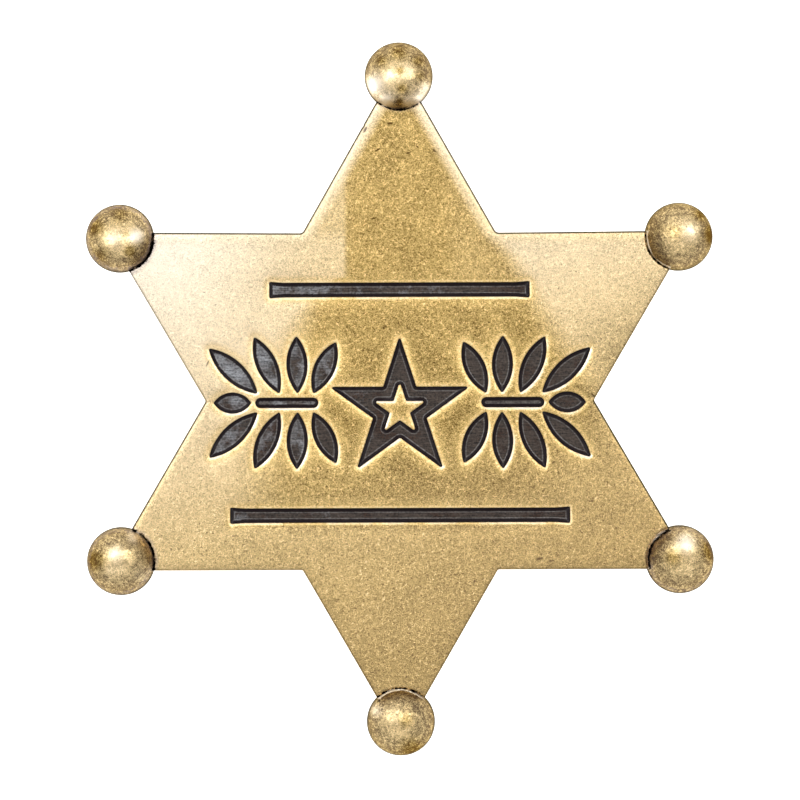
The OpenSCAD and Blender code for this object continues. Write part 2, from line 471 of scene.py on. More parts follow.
# Outline of the star with its six ball tips
def plateOutline():
    loop = []
    for i in range(6):
        start, end = edgeMeetsBall(notchPoint(i), i), edgeMeetsBall(notchPoint(i + 1), i)
        before = edgeMeetsBall(notchPoint(i), i - 1)
        loop += roundedCorner(before, notchPoint(i), start, star["notchRound"][i], plate["step"] / 3)
        first = math.degrees(math.atan2(*(start - ballCentres[i])[::-1]))
        turn = (math.degrees(math.atan2(*(end - ballCentres[i])[::-1])) - first) % 360
        loop += arcPoints(ballCentres[i], ballRadius, first, first + turn, plate["step"] * 0.9)
    return withNick(spacedLoop(loop, plate["step"]))


# The star by itself, with its points under the ball tips
def starOutline():
    loop = []
    for i in range(6):
        loop += roundedCorner(starPoint(i - 1), notchPoint(i), starPoint(i), star["notchRound"][i],
                              plate["step"] / 3)
        loop.append(starPoint(i))
    return withNick(spacedLoop(loop, plate["step"]))


starLoop = starOutline()
outline = plateOutline()


def ballFrame(points):
    offsets = np.stack([points - c for c in ballCentres])
    distance = np.linalg.norm(offsets, axis=2)
    nearest = distance.argmin(0)
    pick = np.arange(len(points))
    return nearest, distance[nearest, pick], offsets[nearest, pick]


def smooth(t):
    t = np.clip(t, 0, 1)
    return t * t * (3 - 2 * t)


# Narrow flange left at the foot of some balls, of uneven width
def isFootRing(nearest, distance, offset):
    angle = np.arctan2(offset[:, 1], offset[:, 0])
    wave = 1 + plate["footWave"] * np.sin(3 * angle + nearest) * np.sin(7 * angle)
    wide = np.array(plate["footRings"])[nearest] * wave
    return (wide > 0.01) & (distance > grooveRadius - wide)


def ballHeight(nearest, distance, offset, radius):
    lean = np.array(ballLean)[nearest] * np.where(radius > ballRadius - 0.01, 1, 0)
    tilt = 1 + (lean * offset).sum(1) / radius
    crown = 1 + (lean ** 2).sum(1) / 2
    return ballMidZ + np.sqrt(np.clip(radius ** 2 - distance ** 2, 0, None)) * tilt / crown


def frontHeight(points, edgeGap, inkGap):
    nearest, distance, offset = ballFrame(points)
    z = np.full(len(points), plate["faceZ"])
    z -= plate["edgeDrop"] * np.clip(1 - edgeGap / plate["edgeRoll"], 0, 1) ** plate["edgePower"]
    curl = np.clip(plate["edgeRound"] - edgeGap, 0, plate["edgeRound"])
    z -= plate["edgeRound"] - np.sqrt(plate["edgeRound"] ** 2 - curl ** 2)
    z -= plate["lipDrop"] * np.clip(1 - inkGap / plate["lip"], 0, 1) ** 2
    z -= plate["sag"] * np.exp(-(inkGap / plate["sagReach"]) ** 2)
    z -= plate["moatDepth"] * (1 - smooth((distance - grooveRadius) / plate["moatReach"]))
    isBall = (distance < grooveRadius + 1e-4) | ~isInside(points, [starLoop])
    isBall &= distance < ballRadius + 0.02
    dome = ballHeight(nearest, distance, offset, ballRadius)
    onRing = isInside(points, [starLoop]) & isFootRing(nearest, distance, offset)
    dome = np.where(onRing, np.minimum(dome, plate["faceZ"] + plate["footRise"]), dome)
    return np.where(isBall, dome, z)


# How far the lip of a channel faces the upper left, fading out over the lip's width: the share of painted
# highlight on it
def lipFacing(points):
    gap, normals = nearestEdge(channelLoops, points)
    facing = normals @ plate["lipLitSide"]
    near = np.clip(1 - gap / plate["lip"], 0, 1)
    low, high = plate["lipHighlight"]
    return np.clip((facing - low) / (high - low), 0, 1) * np.sqrt(near)


def plateFrontPoints():
    border = np.concatenate([outline] + channelLoops)
    balls = []
    for centre in ballCentres:
        balls.append([centre])
        for k in range(1, plate["ballRings"]):
            radius = ballRadius * math.sin(math.pi / 2 * k / plate["ballRings"])
            if radius <= grooveRadius + plate["ballRingsEnd"]:
                turns = round(plate["ballTurns"] * (radius / ballRadius) ** plate["ballTurnsPower"])
                turns = max(plate["ballTurnsLeast"], turns)
                balls.append(circlePoints(radius, turns, centre, 0.5 * (k % 2)))
        for past in plate["footRows"]:
            balls.append(circlePoints(grooveRadius + past, plate["footTurns"], centre))
    edges = np.concatenate([outline - loopNormals(outline) * gap for gap in plate["edgeRows"]])
    edges = edges[ballFrame(edges)[1] > grooveRadius + plate["edgeRowsFrom"]]
    reach, fill, jitter = star["radius"], plate["fill"], plate["fillJitter"]
    grid = gridPoints((-reach, -reach), (reach, reach), fill, fill * plate["fillRows"], fill / 2)
    grid += rng.uniform(-jitter, jitter, grid.shape)
    grid = grid[ballFrame(grid)[1] > grooveRadius + plate["fillFrom"]]
    rows = rowsBeside(channelLoops, plate["channelRows"], plate["sparseFrom"])
    groups = [border, np.concatenate(balls), rows, edges, grid]
    points = mergeGroups(zip(groups, plate["rooms"]))[len(border):]
    return points[isInside(points, [outline])]


def buildPlate():
    lift = Lift()
    loose = plateFrontPoints()
    loose = loose[~isInside(loose, channelLoops)]
    flat, triangles, regions = triangulate([outline], channelLoops, loose)
    face = frontHeight(flat, gapTo([starLoop], flat), gapTo(channelLoops, flat))
    upper = lift.addSheet(flat, triangles, regions, [face, np.full(len(flat), plate["channelZ"])])

    # Back, flat but for the hollows behind the ball tips
    hollowRadius = ballRadius - plate["wall"]
    hollows = [np.array(arcPoints(centre, hollowRadius, 0, 360, plate["step"])[:-1])
               for centre in ballCentres]
    rings = []
    for centre in ballCentres:
        rings.append([centre])
        for k in range(1, plate["hollowRings"]):
            radius = hollowRadius * math.sin(math.pi / 2 * k / plate["hollowRings"])
            turns = max(plate["hollowTurnsLeast"], round(plate["hollowTurns"] * radius / hollowRadius))
            rings.append(circlePoints(radius, turns, centre))
    reach = plate["backReach"]
    coarse = gridPoints((-reach, -reach), (reach, reach), *plate["backFill"])
    coarse = coarse[isInside(coarse, [starLoop * plate["backInside"]])
                    & (ballFrame(coarse)[1] > ballRadius)]
    flat, triangles, regions = triangulate([outline], hollows, np.concatenate(rings + [coarse]))
    nearest, distance, offset = ballFrame(flat)
    dome = ballHeight(nearest, np.minimum(distance, hollowRadius), offset, hollowRadius)
    lower = lift.addSheet(flat, triangles, regions, [np.full(len(flat), backZ), dome], facesDown=True)
    lift.joinBorders(upper, lower)
    piece = lift.makeObject("brassStar")

    # What the material needs to know about each point, in millimetres where it is a gap
    points = np.array(lift.points)
    flat = points[:, :2]
    nearest, distance, offset = ballFrame(flat)
    isBack = points[:, 2] < plate["channelZ"] - 0.2
    onStar = isInside(flat, [starLoop])
    nearBall = distance < ballRadius + 0.05
    isOuter = ~onStar & nearBall
    ballGap = distance - grooveRadius
    ballGap = np.where(isOuter, np.minimum(ballGap, -0.3), ballGap)
    # Painted highlights and painted shade on the ball tips, and a painted highlight on their flange
    paintedLight = plate["footHighlight"] * (onStar & isFootRing(nearest, distance, offset)
                              & (distance < grooveRadius + 0.01))
    for ball, right, up, reach, amount in ballPaintedLights:
        middle = ballCentres[ball] + np.array([right, up]) * ballRadius
        away = np.linalg.norm(flat - middle, axis=1) / (reach * ballRadius)
        isHere = (nearest == ball) & nearBall & ~isBack
        paintedLight = paintedLight + amount * np.exp(-plate["paintedLightFall"] * away ** 2) * isHere
    edgeGap, edgeNormals = nearestEdge([starLoop], flat)
    for name, values in {
        "ballGap": np.where(isBack, distance - hollowRadius, ballGap),
        "ballEdge": isOuter * np.clip(1 - (ballRadius - distance) / plate["sole"], 0, 1),
        "edgeGap": edgeGap,
        "edgeFaces": edgeNormals[:, 1],
        "inkGap": np.where(isBack, 9, gapTo(channelLoops, flat)),
        "lipHighlight": lipFacing(flat) * ~isBack,
        "isBack": isBack,
        "soot": np.array(plate["soot"])[nearest],
        "sootAt": np.where(onStar, np.array(plate["sootAt"])[nearest], plate["sootAt"][0]),
        "paintedLight": paintedLight,
    }.items():
        addAttribute(piece, name, values)
    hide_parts("star_plate")
    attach(piece, "root")
    print("Plate:", len(lift.faces), "faces")
    return piece


brassStar = buildPlate()


# Enamel: run into the channels, so it climbs their walls and lies flat between them

enamel = {
    "clear": 0.01,       # kept off the channel's walls
    "rim": 0.07,         # its edge, under the plate's face
    "sink": 0.47,        # its floor, under the plate's face
    "climb": 0.38,       # width of the slope at the walls
    "climbPower": 1.25,
    "ripple": 0.006,
    "waves": (2.1, 1.7, 1.3),
    "rows": (-0.05, -0.11, -0.17, -0.23, -0.29, -0.34, -0.38, -0.44, -0.5),
    "fill": 0.3,         # spacing of points on the floor
    "rooms": (0, 0.015, 0.16),
}


def enamelHeight(points, gap):
    t = np.clip(gap / enamel["climb"], 0, 1)
    slope = (1 - t) ** enamel["climbPower"]
    alongX, alongY, swing = enamel["waves"]
    ripple = enamel["ripple"] * np.sin(points[:, 0] * alongX + np.sin(points[:, 1] * alongY) * swing)
    low = plate["faceZ"] - enamel["sink"]
    return low + ripple * t + (enamel["sink"] - enamel["rim"]) * slope


def buildEnamel(node, loops):
    lift = Lift()
    loops = [loop - loopNormals(loop) * enamel["clear"] for loop in loops]
    border = np.concatenate(loops)
    grid = gridPoints(border.min(0), border.max(0), enamel["fill"], enamel["fill"])
    groups = [border, rowsBeside(loops, enamel["rows"]), grid]
    loose = mergeGroups(zip(groups, enamel["rooms"]))[len(border):]
    flat, triangles, regions = triangulate(loops, [], loose[isInside(loose, loops)])
    upper = lift.addSheet(flat, triangles, regions, [enamelHeight(flat, gapTo(loops, flat))])
    flat, triangles, regions = triangulate(loops, [], [])
    low = np.full(len(flat), enamelLow.z / mm)
    lower = lift.addSheet(flat, triangles, regions, [low], facesDown=True)
    lift.joinBorders(upper, lower)
    piece = lift.makeObject(node.replace("enamel_", "enamelIn_"), sharpAngle=50)
    addAttribute(piece, "wallGap", gapTo(loops, np.array(lift.points)[:, :2]))
    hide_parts(node)
    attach(piece, "root")
    print(node, len(lift.faces), "faces")
    return piece


enamelPieces = [buildEnamel(node, loops) for node, loops in channels.items()]


# Pin: a pressed strip with a hinge and a catch folded out of it, and a sprung wire

pinLow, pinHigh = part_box("pin_back")
pin = {
    "width": (pinHigh.y - pinLow.y) / mm,
    "topZ": pinHigh.z / mm,
    "stripHalf": 16.0,
    "thick": 0.7,
    "endRound": 1.1,
    "endStep": 1.0,
    "fold": 3.4,            # length of the hinge and of the catch
    "foldStep": 0.4,
    "overlap": 0.05,        # folded parts run this far into the strip
    "earWaist": 0.9,
    "earFoot": 0.55,
    "earRound": 0.7,
    "hookHeight": 1.65,     # free side of the catch
    "hookRound": 0.32,
    "barTurns": 32,
    "wire": 1.0,
    "wireZ": 1.15,
    "eye": 1.0,             # radius of the wire's eye
    # Past the ear, radius
    "rivet": [(-0.1, 0.62), (0.1, 0.62), (0.22, 0.496), (0.27, 0.279)],
    # Past the catch's middle, radius
    "point": [(0.84, 0.4), (1.68, 0.25), (2.4, 0.1)],
    "bevel": 0.09,
}


# Joins rings of points of one count into a closed bar
def joinRings(lift, rings):
    first, count = len(lift.points), len(rings[0])
    last = first + (len(rings) - 1) * count
    for ring in rings:
        lift.points += ring
    for base in range(first, last, count):
        for i in range(count):
            j = (i + 1) % count
            lift.faces.append([base + i, base + j, base + count + j, base + count + i])
    lift.faces.append([first + i for i in range(count)][::-1])
    lift.faces.append([last + i for i in range(count)])


# Closed prism; place turns a point of the outline and a depth into x, y, z
def addPrism(lift, loop, depths, place):
    joinRings(lift, [[place(a, b, depth) for a, b in loop] for depth in depths])


# Closed round bar through stations of (distance along, radius)
def addBar(lift, stations, place):
    joinRings(lift, [[place(a, b, along) for a, b in circlePoints(radius, pin["barTurns"])]
                     for along, radius in stations])


def buildPin():
    lift = Lift()
    half, thick, stripHalf = pin["width"] / 2, pin["thick"], pin["stripHalf"]
    reach = pin["fold"] / 2
    foldX = stripHalf - reach
    stripZ = pin["topZ"] - thick
    corners = [(-stripHalf, -half), (stripHalf, -half), (stripHalf, half), (-stripHalf, half)]
    addPrism(lift, roundedLoop(corners, pin["endRound"], pin["endStep"]), (stripZ, pin["topZ"]),
             lambda a, b, z: (a, b, z))
    # Two ears of the hinge, rounded at the foot
    top, waist, foot = stripZ + pin["overlap"], reach * pin["earWaist"], reach * pin["earFoot"]
    ear = [(-reach, top), (-reach, waist), (-foot, 0.0), (foot, 0.0), (reach, waist), (reach, top)]
    ear = roundedLoop(ear, pin["earRound"], pin["foldStep"])
    for depths in ((thick - half, -half), (half, half - thick)):
        addPrism(lift, ear, depths, lambda a, b, y: (a - foldX, y, b))
    # Catch: a hook that runs down one side, under the wire and up its other side
    hook, inside = pin["hookHeight"], half - thick
    wrap = [(-half, top), (-half, 0.0), (half, 0.0), (half, hook), (inside, hook), (inside, thick),
            (-inside, thick), (-inside, top)]
    wrap = roundedLoop(wrap, pin["hookRound"], pin["foldStep"])
    addPrism(lift, wrap, (foldX - reach, foldX + reach), lambda a, b, x: (x, a, b))
    # Eye of the wire and the rivet's two heads
    bridge = inside + pin["overlap"]
    across = [[(bridge, pin["eye"]), (-bridge, pin["eye"])],
              [(-half - past, radius) for past, radius in pin["rivet"]],
              [(half + past, radius) for past, radius in pin["rivet"][::-1]]]
    for stations in across:
        addBar(lift, stations, lambda a, b, y: (a - foldX, y, b + pin["wireZ"]))
    # Wire and its ground point
    stations = [(-foldX, pin["wire"] / 2), (foldX, pin["wire"] / 2)]
    stations += [(foldX + past, radius) for past, radius in pin["point"]]
    addBar(lift, stations, lambda a, b, x: (x, a, b + pin["wireZ"]))
    piece = lift.makeObject("pinBar", sharpAngle=30)
    bevel = piece.modifiers.new("softEdges", "BEVEL")
    bevel.width = pin["bevel"] * mm
    bevel.segments = 2
    bevel.limit_method = "ANGLE"
    bevel.angle_limit = math.radians(40)
    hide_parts("pin_back")
    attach(piece, "root")
    print("Pin:", len(lift.faces), "faces")
    return piece


pinBar = buildPin()


# Materials

mixFactor, mixA, mixB, mixResult = 0, 6, 7, 2   # sockets of a Mix node that mixes colours


def fromHex(code):
    parts = [int(code[i:i + 2], 16) / 255 for i in (1, 3, 5)]
    return [c / 12.92 if c <= 0.04045 else ((c + 0.055) / 1.055) ** 2.4 for c in parts] + [1]


# Adds a node. Inputs are a list for its first sockets or a dictionary by socket, of plain values, sockets
# or nodes that give their first output. For MapRange the list is value, from, to, value there, value here.
def addNode(tree, kind, inputs=(), operation=None, **settings):
    made = tree.nodes.new("ShaderNode" + kind)
    if operation:
        made.operation = operation
    for name, value in settings.items():
        setattr(made, name, value)
    for name, value in inputs.items() if isinstance(inputs, dict) else enumerate(inputs):
        if isinstance(value, bpy.types.Node):
            value = value.outputs[0]
        if isinstance(value, bpy.types.NodeSocket):
            tree.links.new(value, made.inputs[name])
        else:
            made.inputs[name].default_value = value
    return made


def newMaterial(name):
    material = bpy.data.materials.new(name)
    material.use_nodes = True
    material.node_tree.nodes.clear()
    return material, material.node_tree


# Object coordinates in millimetres, so that every scale below is per millimetre
def placeInMm(tree):
    coords = addNode(tree, "TexCoord").outputs["Object"]
    return addNode(tree, "VectorMath", {0: coords, "Scale": 1 / mm}, "SCALE").outputs[0]


# Adds the noises and then the ranges that a look lists to a dictionary of sockets and nodes
def addListed(tree, look, place, at):
    for name, (size, detail, roughness, distortion) in look["noises"].items():
        at[name] = addNode(tree, "TexNoise", {"Vector": place, "Scale": 1 / size, "Detail": detail,
                                              "Roughness": roughness, "Distortion": distortion})
    for table, curve in (("ranges", "LINEAR"), ("smoothRanges", "SMOOTHSTEP")):
        for name, (source, *values) in look.get(table, {}).items():
            at[name] = addNode(tree, "MapRange", [at[source], *values], interpolation_type=curve)


brassLook = {
    # Tone, from rubbed bright to blackened by the bath, with painted light and shade added in, and its colour
    "tones": [(0.0, "#fce3ac"), (0.28, "#edc985"), (0.64, "#b3995d"), (1.0, "#5c4526")],
    "copper": "#b39984",
    # near white of the painted sheen
    "paintedSheen": "#fffaf2",
    # violet grey of the painted shadow beyond the ball grooves
    "grooveShadow": "#9d93a2",
    "edge": "#2e2b1c",
    "crevice": "#0e0a0d",
    "glance": "#aaa69a",
    "lean": (-0.4, 0.92, 0.0),  # direction towards the upper left along which the painted light and shade, the pink and the specks change
    "roughness": (0.3, 0.42, 0.8),   # rubbed, toned, tone of the latter
    "zoneRough": 0.12,
    "bump": 0.012,              # mm
    # What each adds to the tone
    "plainTone": 0.628,
    "zoneTone": 0.342,          # painted shade down the middle
    "flankShade": 0.37,          # painted shade on the flanks of the ball tips, with the tone the stones left there
    "backTone": 0.16,
    # painted highlights and painted shade on the ball tips
    "paintedLightTone": -0.5,
    "paintedSlopeTone": -0.25,         # painted light and shade, paler towards the upper left than the lower right
    "ballSlope": 0.68,          # where the ball tips stand on that slope
    "shineTone": -0.5,
    # Painted sheen: its share, how steeply it grows to the upper left, and what the painted lights and the
    # ball tips add
    "bloomShare": 0.69,
    "bloomPower": 2.0,
    "paintedLightBloom": 0.5,
    "ballBloom": 0.13,
    "soil": {"mottle": 1.0, "grain": 1.75, "clouds": 0.3},
    "soilMean": 1.49,
    "scratchSets": 3,
    "scratchShift": (17.3, 9.1, 5.0),
    "scratchSize": 0.52,        # mm
    "scratchWidth": (0.022, 0.008),
    "scratchBreaks": (0.3125, 0.49, 0.55),   # size in mm, where a scratch is gone, whole
    "scratchSoil": -0.34,
    # Painted shade down the middle, standing in for the reflection of a darker part of the room. Its left
    # border swings out and softens below the knee; its right one is the nearer of one line and of the further
    # of two more, each rise per mm and place at y 0
    "zoneKnee": 11.9,
    "zoneLeft": (-5.6, -2.4, 0.45, -13.8),   # at the knee, swing, its power, furthest
    "zoneLeftBlur": (0.7, 0.5, 3.6),         # at the knee, growth per mm, most
    "zoneRight": [(-0.55, 18.69), (-0.94, 24.072), (-0.55, 17.6)],
    "zoneRightBlur": (-0.1, 2.9, 0.6),       # growth per mm, at y 0, least
    "zoneNotBloom": 0.8,
    # Groove of a ball tip: width of the black, how much it wanders, its soft border, the painted shadow's
    "grooveWidth": -0.42,
    "grooveWander": 0.9,
    "grooveBorder": (-0.02, 0.06),
    "grooveShadowBorder": (0.4, 0.02, 5.0),
    "rimBorder": (0.13, 0.21),
    "lipStart": 0.16,
    "clean": (0.45, 0.95, 0.35),             # tones at which the painted sheen starts to go and is least, its least
    # Noises: size in mm, detail, roughness, distortion
    "noises": {
        "mottle": (0.34, 5.0, 0.72, 0.6),
        "grain": (0.12, 3.0, 0.7, 0.35),
        "clouds": (3.2, 3.0, 0.55, 0.0),
        "specks": (0.2174, 2.0, 0.6, 0.0),
        "patches": (0.5882, 4.0, 0.7, 0.0),
        "broken": (2.857, 2.0, 0.5, 0.0),
        "wander": (0.5263, 5.0, 0.75, 0.0),
    },
    # Ranges, most of them in mm: what they follow, from, to, value there, value here
    "ranges": {
        "onBall": ("ballGap", 0.0, 0.1, 1.0, 0.0),
        "offBall": ("onBall", 0.0, 1.0, 1.0, 0.0),
        "front": ("isBack", 0.0, 1.0, 1.0, 0.0),
        "speck": ("specks", 0.61, 0.71, 0.0, 1.0),
        "speckDepth": ("lean", 0.0, 20.0, 0.42, 0.1),
        "patch": ("patches", 0.3, 0.7, -0.16, 0.26),
        "grit": ("onBall", 0.0, 1.0, 0.87, 0.92),           # share of the soil on face, balls
        # painted sheen, growing towards the upper left
        "sheenRamp": ("lean", -24.0, 24.0, 0.0, 1.0),
        "slope": ("lean", -28.0, 9.0, 0.0, 1.0),
        "pink": ("lean", -5.0, -20.0, 0.0, 0.17),           # pinker towards the lower right
        "upper": ("y", 2.0, 12.0, 0.0, 1.0),
        "deepest": ("upper", 0.0, 1.0, 1.0, 0.84),
        "fadeLow": ("y", -12.2, 0.0, 0.5, 0.88),
        "fadeHigh": ("y", 14.0, 26.0, 1.0, 0.95),
        "arm": ("y", 15.0, 17.0, 0.0, 1.0),                 # top arm
        "belowArm": ("arm", 0.0, 1.0, 1.0, 0.0),
        "offArm": ("arm", 0.0, 1.0, 1.0, 0.55),
        "edgeShade": ("edgeGap", 2.3, 0.2, 0.0, 0.1),          # painted shade where the press rolled the edge over
        "high": ("y", -8.0, 4.0, 0.0, 1.0),
        "beside": ("inkGap", 1.3, 0.3, 0.0, 1.0),           # metal drawn down beside the channels
        "strip": ("y", -11.9, -10.9, 0.2, -0.175),          # painted shade under the lower bar, painted light between the bars
        "calm": ("y", 8.0, 9.5, 0.0, 0.1),                  # added at the upper bar
        "mild": ("absX", 17.0, 8.0, 0.1, 1.0),
        "ornament": ("absY", 8.6, 7.8, 0.0, 1.0),
        "lipHighlightShare": ("ornament", 0.0, 1.0, 0.3, 0.65),        # along the bars, round the ornament
        "lipWidth": ("ornament", 0.0, 1.0, 0.32, 0.52),
        "lipTone": ("x", -18.0, -10.0, 0.15, 0.3),
        # patches where the painted highlight on the lips shows
        "worn": ("broken", 0.42, 0.58, 0.1, 1.0),
        "line": ("edgeFaces", -0.3, 0.3, 0.5, 0.92),        # blackness of the cut edge facing down, up
    },
    "smoothRanges": {
        "shoulder": ("x", -23.0, -6.0, 0.0, 0.6),
        "foot": ("y", -13.2, -9.6, 0.0, 1.0),
        "corner": ("across", 32.0, 16.0, 0.0, 1.0),
        "flank": ("ballGap", -2.5, -0.5, 0.0, 1.0),
        "halo": ("inkGap", 0.15, 0.9, 0.45, 1.0),           # less painted sheen beside the channels, which leaves the metal yellower
    },
    "inset": (1.6, 0.3),        # on the top arm the zone stops this far from the edges
    "middle": (1.5, 7.0),       # and is deepest this near to the middle
    # Dark marks, and broad faint patches of darker or paler tone, those at (10.5, 15.2) along the right arm's
    # upper edge and at (20.3, 5.8) by the right notch being painted shade: x, y, turn in degrees, half
    # length, half width, depth
    "marks": [(-0.87, 27.0, 5, 0.34, 0.14, 1.1), (-3.3, 26.4, 60, 0.5, 0.16, 1.3),
              (-2.1, 24.4, 25, 0.36, 0.12, 0.8), (0.9, 24.1, 10, 0.3, 0.11, 0.9),
              (1.8, 24.7, -50, 0.24, 0.1, 0.8), (3.5, 24.3, -40, 0.34, 0.12, 0.6),
              (-2.5, 17.7, 20, 0.4, 0.14, 0.5), (10.5, 15.2, 0, 5.5, 1.6, 0.07),
              (-18.8, 3.6, 62, 0.5, 0.11, 0.8), (18.95, 0.3, -48, 0.36, 0.12, 0.9),
              (13.6, -15.7, 10, 0.5, 0.16, 0.5), (14.9, -15.9, 0, 0.45, 0.14, 0.5),
              (15.4, -15.4, 20, 0.4, 0.12, 0.4), (-12.5, -14.6, 5, 7.0, 3.2, 0.06),
              (20.3, 5.8, 60, 4.6, 2.6, 0.15), (15.6, 10.8, 80, 0.22, 0.13, 0.5),
              (-19.1, 10.5, 0, 0.2, 0.12, 0.5), (-18.0, 9.3, 30, 0.24, 0.1, 0.4),
              (-10.5, 8.7, 0, 4.0, 1.3, 0.05), (-9.5, -12.9, 0, 5.5, 1.0, 0.05),
              (-1.5, -20.5, 0, 6.0, 5.0, -0.03)],
    "markCore": 0.2,            # share of a mark that has its full depth
}


# Painted shade down the middle, standing in for the reflection of a darker part of the room, with a crisp
# left border on the top arm that softens lower down
def addPaintedDarkZone(tree, at):
    look = brassLook
    below = addNode(tree, "Math", [look["zoneKnee"], at["y"]], "SUBTRACT")
    below = addNode(tree, "Math", [below, 0.0], "MAXIMUM")
    atKnee, swing, power, furthest = look["zoneLeft"]
    left = addNode(tree, "Math", [below, power], "POWER")
    left = addNode(tree, "Math", [left, swing, atKnee], "MULTIPLY_ADD")
    left = addNode(tree, "Math", [left, furthest], "MAXIMUM")
    crisp, growth, softest = look["zoneLeftBlur"]
    leftBlur = addNode(tree, "Math", [below, growth, crisp], "MULTIPLY_ADD")
    leftBlur = addNode(tree, "Math", [leftBlur, softest], "MINIMUM")
    lines = [addNode(tree, "Math", [at["y"], rise, level], "MULTIPLY_ADD")
             for rise, level in look["zoneRight"]]
    right = addNode(tree, "Math", [lines[1], lines[2]], "MAXIMUM")
    right = addNode(tree, "Math", [lines[0], right], "MINIMUM")
    growth, level, crisp = look["zoneRightBlur"]
    rightBlur = addNode(tree, "Math", [at["y"], growth, level], "MULTIPLY_ADD")
    rightBlur = addNode(tree, "Math", [rightBlur, crisp], "MAXIMUM")
    sides = []
    for border, blur, steps in ((left, leftBlur, ("SUBTRACT", "ADD")),
                                (right, rightBlur, ("ADD", "SUBTRACT"))):
        outer, inner = [addNode(tree, "Math", [border, blur], step) for step in steps]
        sides.append(addNode(tree, "MapRange", [at["x"], outer, inner], interpolation_type="SMOOTHSTEP"))
    zone = addNode(tree, "Math", [sides[0], sides[1]], "MULTIPLY")
    # A fainter painted shade reaches further left on the upper arms
    shoulder = addNode(tree, "Math", [at["shoulder"], at["upper"]], "MULTIPLY")
    shoulder = addNode(tree, "Math", [shoulder, sides[1]], "MULTIPLY")
    zone = addNode(tree, "Math", [zone, shoulder], "MAXIMUM")
    # On the top arm it stops short of the edges, and it is deepest along the middle of its upper half
    for name, source, least in (("inset", "edgeGap", "belowArm"), ("middle", "absX", "deepest")):
        start, end = look[name]
        at[name] = addNode(tree, "MapRange", [at[source], start, end, 1.0, at[least]],
                           interpolation_type="SMOOTHSTEP")
    for name in ("corner", "foot", "fadeLow", "fadeHigh", "inset", "middle", "offBall", "front"):
        zone = addNode(tree, "Math", [zone, at[name]], "MULTIPLY")
    return zone


# Tumbled grain, from clouds of 3 mm down to pits of a tenth, with scratches, specks and marks
def addSoil(tree, at, place):
    look = brassLook
    soil = -look["soilMean"]
    for name, share in look["soil"].items():
        soil = addNode(tree, "Math", [at[name], share, soil], "MULTIPLY_ADD")
    # Short pale scratches: thin contour lines of a noise, broken up by another
    shiftX, shiftY, shiftZ = look["scratchShift"]
    edge, core = look["scratchWidth"]
    breakSize, gone, whole = look["scratchBreaks"]
    for i in range(look["scratchSets"]):
        shifted = addNode(tree, "VectorMath", [place, (shiftX * i, shiftY * i, shiftZ)], "ADD")
        lines = addNode(tree, "TexNoise", {"Vector": shifted, "Scale": 1 / look["scratchSize"],
                                           "Detail": 1.0})
        away = addNode(tree, "Math", [lines, 0.5], "SUBTRACT")
        away = addNode(tree, "Math", [away], "ABSOLUTE")
        thin = addNode(tree, "MapRange", [away, edge, core])
        parts = addNode(tree, "TexNoise", {"Vector": shifted, "Scale": 1 / breakSize, "Detail": 0.0})
        parts = addNode(tree, "MapRange", [parts, gone, whole])
        thin = addNode(tree, "Math", [thin, parts], "MULTIPLY")
        soil = addNode(tree, "Math", [thin, look["scratchSoil"], soil], "MULTIPLY_ADD")
    # Pits and specks that kept their black
    soil = addNode(tree, "Math", [at["speck"], at["speckDepth"], soil], "MULTIPLY_ADD")
    # Dents, flecks and broad faint patches; two of the patches are painted shade along rolled edges
    for atX, atY, turn, longHalf, wideHalf, depth in look["marks"]:
        spot = addNode(tree, "Mapping", {"Vector": place, "Location": (atX, atY, 0.0),
                                         "Rotation": (0.0, 0.0, math.radians(turn)),
                                         "Scale": (longHalf, wideHalf, 100.0)}, vector_type="TEXTURE")
        spot = addNode(tree, "VectorMath", [spot], "LENGTH").outputs["Value"]
        spot = addNode(tree, "MapRange", [spot, 1.0, look["markCore"], 0, depth])
        soil = addNode(tree, "Math", [spot, soil], "ADD")
    return soil


# Lips of the channels: a painted highlight, most where they face the upper left, and wider round the ornament
# than along the bars, on a tone paler all round, partly rubbed and partly painted highlight: how they shine,
# and how much paler they are
def addLipHighlights(tree, at):
    shine = at["lipHighlight"]
    for name in ("worn", "lipHighlightShare"):
        shine = addNode(tree, "Math", [shine, at[name]], "MULTIPLY")
    lip = addNode(tree, "MapRange", [at["inkGap"], brassLook["lipStart"], at["lipWidth"], at["lipTone"], 0.0])
    return shine, lip


# Black in the groove round each ball tip, uneven as the bath left it, and a painted violet shadow beyond it
def addGroove(tree, at):
    look = brassLook
    width = addNode(tree, "Math", [at["wander"], look["grooveWander"], at["soot"]], "MULTIPLY_ADD")
    width = addNode(tree, "Math", [width, look["grooveWidth"]], "ADD")
    near = addNode(tree, "Math", [at["ballGap"], at["sootAt"]], "SUBTRACT")
    near = addNode(tree, "Math", [near], "ABSOLUTE")
    near = addNode(tree, "Math", [near, width], "SUBTRACT")
    full, gone = look["grooveBorder"]
    groove = addNode(tree, "MapRange", [near, gone, full])
    gone, full, strength = look["grooveShadowBorder"]
    grooveShadow = addNode(tree, "MapRange", [near, gone, full, 0, strength])
    grooveShadow = addNode(tree, "Math", [grooveShadow, at["soot"]], "MULTIPLY", use_clamp=True)
    return groove, grooveShadow


